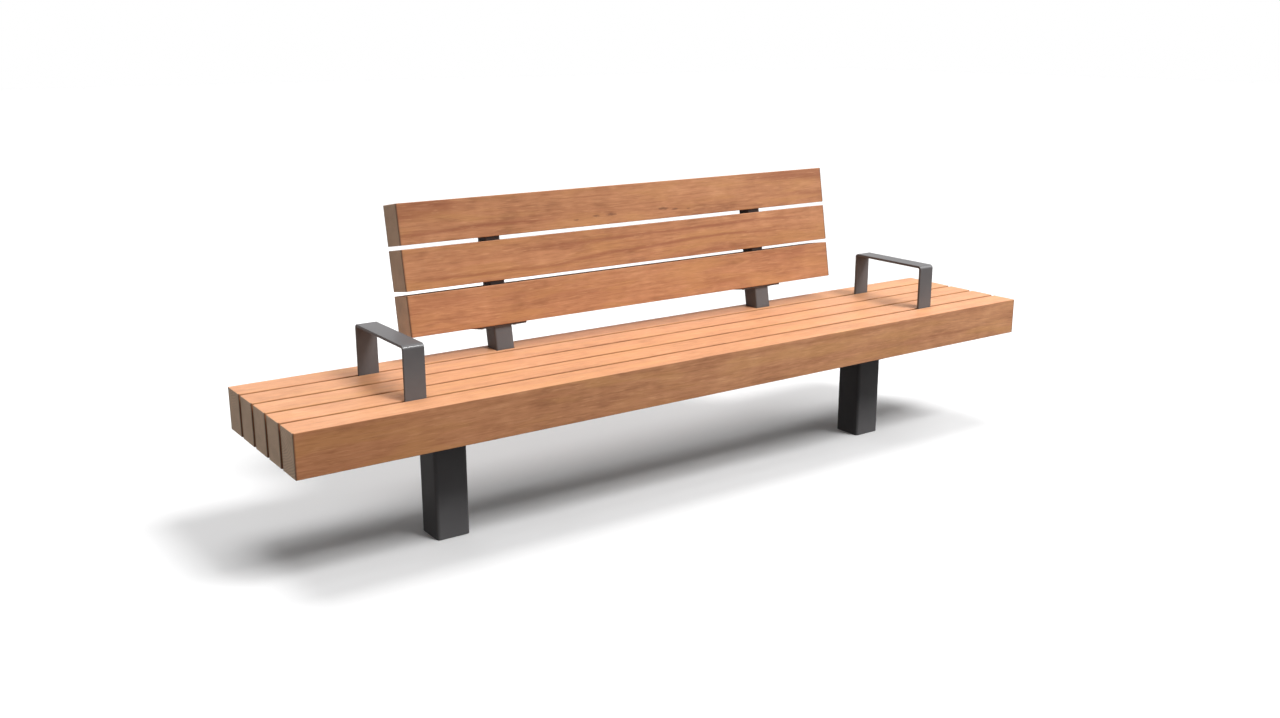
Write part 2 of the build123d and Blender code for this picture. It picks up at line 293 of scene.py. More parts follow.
def frame_round(low, high, level, corner=0.006):
    """A closed line round a square tube at a level, with its corners cut off."""
    line = []
    for x, y, along, across in (
        (low.x, low.y, (0, 1), (1, 0)),
        (high.x, low.y, (-1, 0), (0, 1)),
        (high.x, high.y, (0, -1), (-1, 0)),
        (low.x, high.y, (1, 0), (0, -1)),
    ):
        line.append(Vector((x + along[0] * corner, y + along[1] * corner, level)))
        line.append(Vector((x + across[0] * corner, y + across[1] * corner, level)))
    return line, True


gusset_nose = 0.012
socket_size = 0.060
weld_lines = []
for side in sides:
    post_low, post_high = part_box(f"{side}_post")
    weld_lines.append(frame_round(post_low, post_high, post_high.z))
    for end in ("front", "rear"):
        low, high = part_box(f"{side}_{end}_gusset")
        root = post_low.y if end == "front" else post_high.y
        tip = low.y if end == "front" else high.y
        inward = math.copysign(gusset_nose, tip - root)
        for face in (low.x, high.x):
            upright = [Vector((face, root, low.z)), Vector((face, root, high.z - gusset_nose))]
            level = [Vector((face, root + inward, high.z)), Vector((face, tip, high.z))]
            weld_lines += [(upright, False), (level, False)]
    socket_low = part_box(f"{side}_socket")[0]
    socket_high = socket_low + Vector((socket_size, socket_size, 0))
    weld_lines.append(frame_round(socket_low, socket_high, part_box(f"{side}_back_bracket")[0].z))
    low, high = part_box(f"{side}_bracket_rib")
    for face in (low.x, high.x):
        weld_lines.append(([Vector((face, low.y, high.z)), Vector((face, high.y, high.z))], False))
        weld_lines.append(([Vector((face, high.y, low.z)), Vector((face, high.y, high.z))], False))

weld_points = []
weld_edges = []
for line, closed in weld_lines:
    first = len(weld_points)
    weld_points += line
    weld_edges += [(first + n, first + n + 1) for n in range(len(line) - 1)]
    if closed:
        weld_edges.append((first + len(line) - 1, first))
bead_sizes = {"Leg": 0.0032, "Ripple": 0.0036, "Material": coat}
welds = grow("weld_beads", weld_tree(), bead_sizes, weld_points, weld_edges)
welds.data.shade_smooth()
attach(welds, "root")

# Seat beams
# Five hardwood beams laid side by side, their long edges rounded over and their sawn ends just eased. The
# rear one has two square mortises for the back sockets. The wood is oiled, with a low sheen.


def hardwood():
    """Oiled red-brown hardwood: growth lines, fibres and pores along a board, rings on its ends."""
    material, tree, surface = new_material("hardwood")

    def vector(operation, first, second, output=0):
        settings = {"operation": operation}
        return Socket.node(tree, "ShaderNodeVectorMath", settings, {0: first, 1: second}, output)

    def noise(along, across, detail=2.0, rough=0.5, place=None):
        """Noise drawn out along the board: cells per metre along and across it."""
        place = vector("MULTIPLY", place or seeded, (along, across, across))
        inputs = {"Vector": place, "Scale": 1.0, "Detail": detail, "Roughness": rough}
        return Socket.node(tree, "ShaderNodeTexNoise", inputs=inputs)

    def between(value, low, high):
        """A smooth step from 0 at low to 1 at high."""
        settings = {"interpolation_type": "SMOOTHSTEP"}
        inputs = {"Value": value, "From Min": low, "From Max": high}
        return Socket.node(tree, "ShaderNodeMapRange", settings, inputs)

    def mix(share, first, second):
        settings = {"data_type": "RGBA"}
        return Socket.node(tree, "ShaderNodeMix", settings, {0: share, 6: first, 7: second}, 2)

    # Which way a face looks: the backrest boards are the last three; the tops get painted light, a paler
    # colour
    board = Socket.node(tree, "ShaderNodeAttribute", {"attribute_name": "board"}, output="Fac")
    first_back_board = 5.0
    behind = between(board, first_back_board - 0.6, first_back_board - 0.4)
    normal = Socket.node(tree, "ShaderNodeTexCoord", output="Normal")
    endwise = Socket.node(tree, "ShaderNodeSeparateXYZ", inputs={0: normal}, output="X")
    painted_top_sheen = between(endwise.other("Z"), 0.5, 0.95)

    # Place within the board, and the same place shifted so that no two boards are cut alike
    seat_half_length = 1.3
    back_half_length = 0.8
    half_width = 0.044
    place = Socket.node(tree, "ShaderNodeAttribute", {"attribute_name": "grain"}, output="Vector")
    shift = Socket.node(
        tree, "ShaderNodeVectorMath", {"operation": "SCALE"}, {0: (3.7, 1.9, 2.3), "Scale": board}
    )
    seeded = vector("ADD", place, shift)
    across = Socket.node(tree, "ShaderNodeSeparateXYZ", inputs={0: place}, output="Y")
    upward = across.other("Z")

    # The grain wanders a little off the board's length
    wander = noise(1.1, 5.0, 3.0) - 0.5
    sway = Socket.node(tree, "ShaderNodeCombineXYZ", inputs={"Y": 0.05 * wander, "Z": 0.05 * wander})
    swayed = vector("ADD", seeded, sway)

    # Growth layers: distance from a pith beside the board
    pith_distance = 0.13
    first_turn = 0.9
    turn_per_board = 2.4
    lines_per_metre = 30
    turn = board * turn_per_board + first_turn
    from_pith = across - turn.math("COSINE", turn) * pith_distance
    above_pith = upward - turn.math("SINE", turn) * pith_distance
    layer = (from_pith * from_pith + above_pith * above_pith) ** 0.5
    ripple = noise(3.5, 16.0, 2.0) - 0.5
    layer = layer + 0.075 * wander + 0.010 * ripple
    growth = layer * (math.tau * lines_per_metre)
    line = (0.5 + 0.5 * growth.math("SINE", growth)) ** 5.0
    line = line * between(noise(1.3, 7.0), 0.42, 0.62)

    # Tones: broad patches, crosswise figure, streaks, mottle, thin veins, short flecks, fibres and pores
    patch = noise(2.4, 13.0, 3.0)
    figure = noise(13.0, 8.0, 2.0)
    streak = noise(5.0, 105.0, 4.0, 0.6, swayed)
    mottle = noise(20.0, 75.0, 3.0, 0.5, swayed)
    vein = between(noise(1.8, 150.0, 2.0, 0.5, swayed), 0.58, 0.72)
    fleck = noise(22.0, 210.0, 2.0, 0.5, swayed)
    fibre = noise(12.0, 420.0, 2.0, 0.5, swayed)
    pore = between(noise(26.0, 780.0, 1.0), 0.60, 0.74)
    share = 0.28 * patch + 0.18 * figure + 0.28 * streak + 0.18 * mottle + 0.08 * fleck
    face = ramp(
        tree,
        share,
        (0.38, (0.370, 0.159, 0.078, 1)),
        (0.47, (0.516, 0.235, 0.115, 1)),
        (0.54, (0.602, 0.284, 0.142, 1)),
        (0.63, (0.720, 0.368, 0.190, 1)),
    )
    tan = between(noise(3.6, 22.0, 3.0, 0.5, swayed), 0.46, 0.64)
    face = mix(tan * 0.5, face, (0.610, 0.306, 0.122, 1))
    face = mix(line * (0.32 + 0.34 * behind), face, (0.34, 0.118, 0.062, 1))
    face = mix(vein * 0.30, face, (0.33, 0.122, 0.062, 1))
    # Painted sheen: the tops are evened towards one tone
    face = mix(painted_top_sheen * 0.42, face, (0.565, 0.262, 0.126, 1))
    face = mix(between(fleck, 0.56, 0.74) * 0.30, face, (0.78, 0.43, 0.215, 1))
    face = mix(between(streak, 0.56, 0.76) * 0.30, face, (0.40, 0.142, 0.072, 1))
    face = mix(between(fibre, 0.5, 0.8) * 0.24, face, (0.74, 0.41, 0.23, 1))
    face = mix(pore * 0.30, face, (0.27, 0.095, 0.045, 1))

    # Two runs of pin knots along the front of the top backrest beam
    knotted_board = 6.0
    knot_height = -0.032
    knot_spacing = 0.058
    nearest = 9.0
    for first_knot in (-0.207, 0.102):
        for step in range(3):
            rise = 0.005 * math.sin(2.3 * step + 9.0 * first_knot)
            breadth = 1.0 - 0.4 * math.sin(4.1 * step + 50.0 * first_knot)
            knot_x = first_knot + step * knot_spacing + 2.4 * rise
            centre = (knot_x, -half_width, knot_height + rise)
            spans = (75.0 / breadth, 60.0, 240.0 / breadth)
            reach = vector("MULTIPLY", vector("SUBTRACT", place, centre), spans)
            size = vector("LENGTH", reach, (0, 0, 0), "Value")
            nearest = size.math("MINIMUM", size, nearest)
    frayed = nearest + 2.2 * (noise(60.0, 160.0) - 0.5)
    other_board = board - knotted_board
    other_board = between(other_board.math("ABSOLUTE", other_board), 0.2, 0.4)
    knot = (1 - between(frayed, 0.3, 1.3)) * (1 - other_board)
    face = mix(knot * 0.55, face, (0.13, 0.060, 0.042, 1))

    # Painted shade and light: the backrest boards darker, the tops paler, and the front beam's left end
    # darker
    along = across.other("X")
    # Painted shade on the front beam's faces, darker towards its left end
    first_board = 1 - between(board, 0.4, 0.6)
    painted_left_shade = first_board * (1 - between(along, -1.2, -0.2)) * (1 - painted_top_sheen)
    face = mix(painted_left_shade, face, vector("MULTIPLY", face, (0.84, 0.78, 0.74)))
    face = mix(behind, face, vector("MULTIPLY", face, (0.88, 0.868, 0.857)))
    face = mix(painted_top_sheen, face, vector("MULTIPLY", face, (1.235, 1.295, 1.40)))

    # Sawn ends: closer rings and open pores, in a duller, greyer, paler tone that is partly painted sheen
    # and painted light
    sawn = between(endwise.math("ABSOLUTE", endwise), 0.55, 0.9)
    rings_per_metre = 150
    ring = layer * (math.tau * rings_per_metre)
    ring = 0.5 + 0.5 * ring.math("SINE", ring)
    grit = noise(300.0, 300.0, 3.0)
    blotch = noise(20.0, 20.0, 3.0)
    end_share = 0.2 * ring + 0.45 * blotch + 0.35 * grit
    end_tone_and_sheen = ramp(tree, end_share, (0.3, (0.64, 0.450, 0.315, 1)), (0.7, (0.93, 0.670, 0.480, 1)))

    # The upright arrises of the ends are painted dark: partly the end grain's darker edge, partly painted
    # shade in the gaps between beams
    half_length = seat_half_length + (back_half_length - seat_half_length) * behind
    from_end = half_length - along.math("ABSOLUTE", along)
    from_side = half_width - across.math("ABSOLUTE", across)
    arris = (1 - between(from_end, 0.0015, 0.005)) * (1 - between(from_side, 0.0015, 0.0065))
    wood_tone = mix(arris * 0.75, mix(sawn, face, end_tone_and_sheen), (0.10, 0.050, 0.032, 1))
    Socket.feed(surface["Base Color"], wood_tone)
    surface["Specular IOR Level"].default_value = 0.17
    weathered = behind * painted_top_sheen
    Socket.feed(surface["Roughness"], 0.42 + 0.14 * streak + 0.2 * sawn + 0.5 * weathered)
    height = 0.5 * fibre + 0.35 * streak - 0.6 * pore + 0.8 * sawn * grit
    emboss(tree, surface, strength=0.22, depth=0.0005, height=height)
    return material


def beam_tree():
    """A beam with rounded long edges and eased ends, cut by a cutter, then leant back about a knee."""
    tree, size = new_tree(
        "hardwood_beam",
        {
            "Length": "Float",
            "Width": "Float",
            "Height": "Float",
            "Edge Radius": "Float",
            "End Easing": "Float",
            "Board": "Float",
            "Centre": "Vector",
            "Cut": "Bool",
            "Cutter": "Object",
            "Lean": "Vector",
            "Knee": "Vector",
            "Material": "Material",
        },
    )
    outline = Socket.node(
        tree,
        "GeometryNodeCurvePrimitiveQuadrilateral",
        inputs={"Width": size["Width"], "Height": size["Height"]},
    )
    outline = Socket.node(
        tree,
        "GeometryNodeFilletCurve",
        {"mode": "POLY"},
        {"Curve": outline, "Count": 6, "Radius": size["Edge Radius"]},
    )
    easing = size["End Easing"]
    reach = size["Length"] / 2 - easing
    start = Socket.node(tree, "ShaderNodeCombineXYZ", inputs={"X": 0 - reach})
    stop = Socket.node(tree, "ShaderNodeCombineXYZ", inputs={"X": reach})
    line = Socket.node(tree, "GeometryNodeCurvePrimitiveLine", inputs={"Start": start, "End": stop})
    shape = Socket.node(
        tree, "GeometryNodeCurveToMesh", inputs={"Curve": line, "Profile Curve": outline, "Fill Caps": True}
    )

    # Each end is rounded over in two steps of a quarter circle
    normal = Socket.node(tree, "GeometryNodeInputNormal")
    endwise = Socket.node(tree, "ShaderNodeSeparateXYZ", inputs={0: normal})
    end_facing = 0.9
    chosen = endwise.math("GREATER_THAN", endwise.math("ABSOLUTE", endwise), end_facing)
    outward = 0.0
    inset = 0.0
    for angle in (math.radians(45), math.radians(90)):
        advance = easing * (math.sin(angle) - outward)
        outward = math.sin(angle)
        shape = Socket.node(
            tree,
            "GeometryNodeExtrudeMesh",
            inputs={"Mesh": shape, "Selection": chosen, "Offset Scale": advance},
        )
        chosen = shape.other("Top")
        reached = 1 - math.cos(angle)
        narrower = {"X": 1.0}
        for axis, span in (("Y", "Width"), ("Z", "Height")):
            before = size[span] - easing * (2 * inset)
            narrower[axis] = (size[span] - easing * (2 * reached)) / before
        inset = reached
        shrink = Socket.node(tree, "ShaderNodeCombineXYZ", inputs=narrower)
        place = Socket.node(tree, "GeometryNodeInputPosition")
        place = Socket.node(tree, "ShaderNodeVectorMath", {"operation": "MULTIPLY"}, {0: place, 1: shrink})
        inputs = {"Geometry": shape, "Selection": chosen, "Position": place}
        shape = Socket.node(tree, "GeometryNodeSetPosition", inputs=inputs)

    inputs = {"Object": size["Cutter"]}
    cutter = Socket.node(tree, "GeometryNodeObjectInfo", inputs=inputs, output="Geometry")
    cut = Socket.node(
        tree,
        "GeometryNodeMeshBoolean",
        {"operation": "DIFFERENCE", "solver": "EXACT"},
        {"Mesh 1": shape, "Mesh 2": cutter},
    )
    shape = Socket.node(
        tree,
        "GeometryNodeSwitch",
        {"input_type": "GEOMETRY"},
        {"Switch": size["Cut"], "False": shape, "True": cut},
    )

    # The grain follows the board's own axes, so its place is kept before the board is moved
    place = Socket.node(tree, "GeometryNodeInputPosition")
    for label, kind, value in (("grain", "FLOAT_VECTOR", place), ("board", "FLOAT", size["Board"])):
        shape = Socket.node(
            tree,
            "GeometryNodeStoreNamedAttribute",
            {"data_type": kind, "domain": "POINT"},
            {"Geometry": shape, "Name": label, "Value": value},
        )
    shape = Socket.node(
        tree, "GeometryNodeTransform", inputs={"Geometry": shape, "Translation": size["Centre"]}
    )
    shape = Socket.node(
        tree,
        "GeometryNodeTransform",
        inputs={"Geometry": shape, "Translation": size["Knee"], "Rotation": size["Lean"]},
    )
    close_tree(tree, shape, size["Material"])
    return tree


def cutter_of(boxes, bores=()):
    """One cutting body: boxes by centre and size, bores along Y by centre, diameter and depth."""
    work = bmesh.new()
    for centre, extent in boxes:
        lie = Matrix.Translation(centre) @ Matrix.Diagonal((*extent, 1))
        bmesh.ops.create_cube(work, size=1, matrix=lie)
    for centre, diameter, depth in bores:
        lie = Matrix.Translation(centre) @ Matrix.Rotation(math.radians(90), 4, "X")
        bmesh.ops.create_cone(
            work,
            cap_ends=True,
            segments=40,
            radius1=diameter / 2,
            radius2=diameter / 2,
            depth=depth,
            matrix=lie,
        )
    mesh = bpy.data.meshes.new("cutter")
    work.to_mesh(mesh)
    work.free()
    return bpy.data.objects.new("cutter", mesh)


wood = hardwood()
timber = beam_tree()
seat_rows = 5
low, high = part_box("seat_beam_1")
beam_length, beam_width, beam_height = high - low
edge_radius = 0.002
end_easing = 0.0015
back_x = 0.5
seat_mortise = 0.063
seat_cutter = cutter_of(
    [(Vector((x, 0, 0)), (seat_mortise, seat_mortise, 2 * beam_height)) for x in (-back_x, back_x)]
)
beam_sizes = {
    "Width": beam_width,
    "Height": beam_height,
    "Edge Radius": edge_radius,
    "End Easing": end_easing,
    "Material": wood,
}
for row in range(seat_rows):
    node = f"seat_beam_{row + 1}"
    low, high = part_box(node)
    beam = grow(
        f"{node}_oiled",
        timber,
        beam_sizes
        | {
            "Length": beam_length,
            "Board": float(row),
            "Centre": (low + high) / 2,
            "Cut": row == seat_rows - 1,
            "Cutter": seat_cutter,
        },
    )
    shade(beam, crease_angle=50)
    settle(beam, "hardwood", node)

# Armrests
# Flat steel bar bent to a hoop. Its legs go down through the gaps beside the outer beams and turn out below
# them, where they are screwed. Rolled bar has softly rounded edges under its coat.


def bar_tree():
    """Flat bar bent along the host's line, with a bend at every corner."""
    tree, size = new_tree(
        "bent_bar",
        {
            "Width": "Float",
            "Thickness": "Float",
            "Edge Radius": "Float",
            "Bend Radius": "Float",
            "Material": "Material",
        },
    )
    line = Socket.node(tree, "GeometryNodeMeshToCurve", inputs={0: size["Geometry"]})
    section = Socket.node(
        tree,
        "GeometryNodeCurvePrimitiveQuadrilateral",
        inputs={"Width": size["Width"], "Height": size["Thickness"]},
    )
    bend_steps = 14
    edge_steps = 5
    inputs = {"Curve": line, "Count": bend_steps, "Radius": size["Bend Radius"]}
    line = Socket.node(tree, "GeometryNodeFilletCurve", {"mode": "POLY"}, inputs)
    inputs = {"Curve": section, "Count": edge_steps, "Radius": size["Edge Radius"]}
    section = Socket.node(tree, "GeometryNodeFilletCurve", {"mode": "POLY"}, inputs)
    bar = Socket.node(
        tree, "GeometryNodeCurveToMesh", inputs={"Curve": line, "Profile Curve": section, "Fill Caps": True}
    )
    close_tree(tree, bar, size["Material"])
    return tree


bar_thickness = 0.008
bar_inner_bend = 0.004
bar_edge = 0.0016
bar_clear = 0.002
bar_sizes = {
    "Thickness": bar_thickness,
    "Edge Radius": bar_edge,
    "Bend Radius": bar_inner_bend + bar_thickness / 2,
    "Material": coat,
}
bent_bar = bar_tree()
for side in sides:
    node = f"{side}_armrest"
    low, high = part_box(node)
    middle = (low.x + high.x) / 2
    tab = high.y
    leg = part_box("seat_beam_5")[0].y - bar_thickness / 2 - bar_clear
    foot = low.z + bar_thickness / 2
    top = high.z - bar_thickness / 2
    route = ((-tab, foot), (-leg, foot), (-leg, top), (leg, top), (leg, foot), (tab, foot))
    armrest = grow(
        f"{node}_coated",
        bent_bar,
        bar_sizes | {"Width": high.x - low.x},
        [(middle, y, z) for y, z in route],
        [(n, n + 1) for n in range(len(route) - 1)],
    )
    shade(armrest, crease_angle=50)
    settle(armrest, "steelwork", node)

# Seat screws
# Hexagon-head coach screws in stainless steel, driven up through the head plates, the brackets and the
# armrest feet into the beams.


def stainless():
    """Stainless steel as cold formed: bright, lightly brushed, uneven in gloss."""
    material, tree, surface = new_material("stainless")
    place = Socket.node(tree, "ShaderNodeTexCoord", output="Object")
    cloud = speckle(tree, place, scale=160.0, detail=4.0)
    scratch = speckle(tree, place, scale=2600.0, detail=1.0)
    tone = ramp(tree, cloud, (0.3, (0.47, 0.46, 0.45, 1)), (0.7, (0.62, 0.61, 0.60, 1)))
    Socket.feed(surface["Base Color"], tone)
    surface["Metallic"].default_value = 1.0
    Socket.feed(surface["Roughness"], 0.22 + 0.2 * cloud)
    emboss(tree, surface, strength=0.1, depth=0.0001, height=scratch)
    return material


def screw_tree():
    """A hexagon-head screw at each host point: its head below the point, its shank above, then turned."""
    tree, size = new_tree(
        "hex_screws",
        {
            "Diameter": "Float",
            "Length": "Float",
            "Flats": "Float",
            "Head": "Float",
            "Turn": "Vector",
            "Material": "Material",
        },
    )

    def raised(shape, height):
        lift = Socket.node(tree, "ShaderNodeCombineXYZ", inputs={"Z": height})
        return Socket.node(tree, "GeometryNodeTransform", inputs={"Geometry": shape, "Translation": lift})

    def disc(sides, radius, depth, middle):
        inputs = {"Vertices": sides, "Radius": radius, "Depth": depth}
        return raised(Socket.node(tree, "GeometryNodeMeshCylinder", inputs=inputs), middle)

    # A cone of 30 degrees chamfers the corners of the hexagon
    crown_share = 0.475
    crown_sides = 40
    shank_sides = 20
    merge_distance = 0.00002
    hexagon = disc(6, size["Flats"] / math.sqrt(3), size["Head"], size["Head"] * -0.5)
    crown_radius = size["Flats"] * crown_share
    crown = Socket.node(
        tree,
        "GeometryNodeMeshCone",
        inputs={
            "Vertices": crown_sides,
            "Radius Bottom": crown_radius,
            "Radius Top": crown_radius + size["Head"] * math.sqrt(3),
            "Depth": size["Head"],
        },
    )
    crown = raised(crown, size["Head"] * -1.0)
    head = Socket.node(
        tree, "GeometryNodeMeshBoolean", {"operation": "INTERSECT", "solver": "EXACT"}, {"Mesh 2": hexagon}
    )
    Socket.feed(head.socket.node.inputs["Mesh 2"], crown)
    inputs = {"Geometry": head, "Distance": merge_distance}
    head = Socket.node(tree, "GeometryNodeMergeByDistance", inputs=inputs)
    shank = disc(shank_sides, size["Diameter"] / 2, size["Length"], size["Length"] / 2)
    screw = Socket.node(tree, "GeometryNodeJoinGeometry", inputs={0: head})
    Socket.feed(screw.socket.node.inputs[0], shank)
    placed = Socket.node(
        tree,
        "GeometryNodeInstanceOnPoints",
        inputs={"Points": size["Geometry"], "Instance": screw, "Rotation": size["Turn"]},
    )
    close_tree(tree, placed, size["Material"])
    return tree


def screws(node, sizes, points, turn=(0, 0, 0)):
    """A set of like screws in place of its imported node."""
    diameter, length, flats, head = sizes
    values = {"Diameter": diameter, "Length": length, "Flats": flats, "Head": head, "Turn": turn}
    piece = grow(f"{node}_stainless", hex_screw, values | {"Material": bright}, points)
    shade(piece, crease_angle=30)
    settle(piece, "fasteners", node)


bright = stainless()
hex_screw = screw_tree()
coach_screw = (0.010, 0.080, 0.017, 0.007)
arm_screw = (0.008, 0.060, 0.013, 0.0055)
row_places = [sum(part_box(f"seat_beam_{row + 1}"), Vector()).y / 2 for row in range(seat_rows)]
outer_screw_inset = 0.012
screw_rows = [row_places[0] + outer_screw_inset, *row_places[1:-1], row_places[-1] - outer_screw_inset]
post_x = 0.8
head_screw_offset = 0.070
bracket_screw_offset = 0.045
arm_screw_offset = 0.016
arm_x = sum(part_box("right_armrest"), Vector()).x / 2
for node, plate, centre, offset, rows, sizes in (
    ("seat_screws", "left_head_plate", post_x, head_screw_offset, screw_rows, coach_screw),
    ("bracket_screws", "left_back_bracket", back_x, bracket_screw_offset, screw_rows, coach_screw),
    ("armrest_screws", "left_armrest", arm_x, arm_screw_offset, (row_places[0], row_places[-1]), arm_screw),
):
    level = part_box(plate)[0].z
    columns = [hand * centre + step for hand in (-1, 1) for step in (-offset, offset)]
    screws(node, sizes, [(x, y, level) for x in columns for y in rows])

# Back supports
# A square upright slides into each socket, where a stainless bolt and nut fix it, and leans back from a
# knee. A collar tube of the socket's size sleeves it above the seat, and a flange plate on the collar
# carries the lowest backrest beam. The powder coat covers all three.

for side in sides:
    eased_steel(f"{side}_upright", tube_easing)
    eased_steel(f"{side}_collar", tube_easing)
    eased_steel(f"{side}_flange", plate_easing)

socket_half = socket_size / 2
rear_row = row_places[-1]
cross_bolt_level = sum(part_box("socket_bolts"), Vector()).z / 2
cross_bolt = (0.010, 0.0724, 0.016, 0.0064)
cross_points = [(x + socket_half, rear_row, cross_bolt_level) for x in (-back_x, back_x)]
screws("socket_bolts", cross_bolt, cross_points, turn=(0, math.radians(-90), 0))
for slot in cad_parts["socket_nuts"].material_slots:
    slot.material = bright

# Backrest beams
# Three shorter beams of the same section, threaded over the uprights with a gap between them. The mortise
# of the top one is blind. Behind, a bolt in a counterbore holds each beam to each upright.

# Which cut of the wood each beam has, from the lowest up
back_order = (0, 2, 1)
back_beams = 3
back_lean = math.radians(10)
back_clear = 0.067
back_gap = 0.012
back_mortise = 0.053
top_mortise_depth = 0.0865
counterbore = 0.020
counterbore_depth = 0.0095
mortise_overshoot = beam_height * 0.1
knee_clear = 0.0005
seat_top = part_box("seat_beam_5")[1].z
knee = Vector((0, rear_row, seat_top + socket_half * math.tan(back_lean / 2) + knee_clear))
low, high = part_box("back_beam_1")
back_length = high.x - low.x
back_centres = [back_clear + beam_height / 2 + n * (beam_height + back_gap) for n in range(back_beams)]
for number, height in enumerate(back_centres):
    node = f"back_beam_{number + 1}"
    blind = number == back_beams - 1
    mortise_low = -beam_height / 2 - mortise_overshoot
    mortise_high = top_mortise_depth - beam_height / 2 if blind else -mortise_low
    middle = (mortise_low + mortise_high) / 2
    mortise = (back_mortise, back_mortise, mortise_high - mortise_low)
    back_cutter = cutter_of(
        [(Vector((x, 0, middle)), mortise) for x in (-back_x, back_x)],
        [(Vector((x, beam_width / 2, 0)), counterbore, 2 * counterbore_depth) for x in (-back_x, back_x)],
    )
    beam = grow(
        f"{node}_oiled",
        timber,
        beam_sizes
        | {
            "Length": back_length,
            "Board": float(seat_rows + back_order[number]),
            "Centre": Vector((0, 0, height)),
            "Cut": True,
            "Cutter": back_cutter,
            "Lean": (-back_lean, 0, 0),
            "Knee": knee,
        },
    )
    shade(beam, crease_angle=50)
    settle(beam, "hardwood", node)
    bpy.data.objects.remove(back_cutter)
bpy.data.objects.remove(seat_cutter)

# Backrest fasteners
# Small hexagon screws go up through the flanges into the lowest beam. Cap-head bolts with washers sit in
# the counterbores behind and thread into the uprights. All are stainless steel.


def cap_bolt_tree():
    """A cap-head bolt at each host point: its head above the point, with a hexagon socket, then turned."""
    tree, size = new_tree(
        "cap_bolts",
        {
            "Diameter": "Float",
            "Length": "Float",
            "Head Diameter": "Float",
            "Head": "Float",
            "Key": "Float",
            "Key Depth": "Float",
            "Turn": "Vector",
            "Material": "Material",
        },
    )

    def disc(sides, radius, low, high):
        inputs = {"Vertices": sides, "Radius": radius, "Depth": high - low}
        shape = Socket.node(tree, "GeometryNodeMeshCylinder", inputs=inputs)
        lift = Socket.node(tree, "ShaderNodeCombineXYZ", inputs={"Z": (low + high) * 0.5})
        return Socket.node(tree, "GeometryNodeTransform", inputs={"Geometry": shape, "Translation": lift})

    head_sides = 40
    shank_sides = 24
    key_overshoot = 1.2
    head = disc(head_sides, size["Head Diameter"] / 2, 0.0, size["Head"])
    key_low = size["Head"] - size["Key Depth"]
    key = disc(6, size["Key"] / math.sqrt(3), key_low, size["Head"] * key_overshoot)
    head = Socket.node(
        tree,
        "GeometryNodeMeshBoolean",
        {"operation": "DIFFERENCE", "solver": "EXACT"},
        {"Mesh 1": head, "Mesh 2": key},
    )
    shank = disc(shank_sides, size["Diameter"] / 2, size["Length"] * -1.0, 0.0)
    bolt = Socket.node(tree, "GeometryNodeJoinGeometry", inputs={0: head})
    Socket.feed(bolt.socket.node.inputs[0], shank)
    placed = Socket.node(
        tree,
        "GeometryNodeInstanceOnPoints",
        inputs={"Points": size["Geometry"], "Instance": bolt, "Rotation": size["Turn"]},
    )
    close_tree(tree, placed, size["Material"])
    return tree


flange_screw = (0.006, 0.050, 0.010, 0.004)
flange_screw_offset = 0.055
flange_thickness = 0.006
up_lean = Vector((0, math.sin(back_lean), math.cos(back_lean)))
rearward = Vector((0, math.cos(back_lean), -math.sin(back_lean)))
flange_points = [
    knee + Vector((hand * back_x + step, 0, 0)) + up_lean * (back_clear - flange_thickness)
    for hand in (-1, 1)
    for step in (-flange_screw_offset, flange_screw_offset)
]
screws("flange_screws", flange_screw, flange_points, turn=(-back_lean, 0, 0))

washer_thickness = 0.0016
bolt_seat = beam_width / 2 - counterbore_depth + washer_thickness
bolt_points = [
    knee + Vector((x, 0, 0)) + up_lean * height + rearward * bolt_seat
    for x in (-back_x, back_x)
    for height in back_centres
]
cap_bolt = {
    "Diameter": 0.008,
    "Length": 0.021,
    "Head Diameter": 0.013,
    "Head": 0.008,
    "Key": 0.006,
    "Key Depth": 0.004,
    "Turn": (-back_lean - math.radians(90), 0, 0),
    "Material": bright,
}
back_bolts = grow("back_bolts_stainless", cap_bolt_tree(), cap_bolt, bolt_points)
shade(back_bolts, crease_angle=30)
settle(back_bolts, "fasteners", "back_bolts")
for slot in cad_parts["back_washers"].material_slots:
    slot.material = bright

# Studio
# A plain off-white floor, lit so brightly that it shows white, keeps the bench's shadow. The soft light
# comes from a broad key at the front right, a wider lamp overhead, three softboxes and a pale sky.


def seen_directly(tree):
    """1 for what the camera, a reflection or a clear surface sees, and 0 for light that spreads."""
    path = Socket.node(tree, "ShaderNodeLightPath", output="Is Camera Ray")
    seen = path + path.other("Is Glossy Ray") + path.other("Is Transmission Ray")
    return path.math("MINIMUM", seen, 1.0)


floor_size = 60.0
floor_drop = 0.0005
floor_mesh = bpy.data.meshes.new("floor")
reach = floor_size / 2
floor_mesh.from_pydata(
    [(x, y, -floor_drop) for x, y in ((-reach, -reach), (reach, -reach), (reach, reach), (-reach, reach))],
    [],
    [(0, 1, 2, 3)],
)
floor = bpy.data.objects.new("floor", floor_mesh)
bpy.context.scene.collection.objects.link(floor)
floor_paint, tree = new_material("floor")[:2]
shown = Socket.node(tree, "ShaderNodeBsdfDiffuse", inputs={"Color": (0.89, 0.892, 0.895, 1)})
spread = Socket.node(tree, "ShaderNodeBsdfDiffuse", inputs={"Color": (0.05, 0.05, 0.05, 1)})
mixed = Socket.node(tree, "ShaderNodeMixShader", inputs={0: seen_directly(tree), 1: spread, 2: shown})
below = Socket.node(tree, "ShaderNodeNewGeometry", output="Backfacing")
clear = Socket.node(tree, "ShaderNodeBsdfTransparent")
mixed = Socket.node(tree, "ShaderNodeMixShader", inputs={0: below, 1: mixed, 2: clear})
Socket.feed(tree.nodes["Material Output"].inputs["Surface"], mixed)
floor_mesh.materials.append(floor_paint)


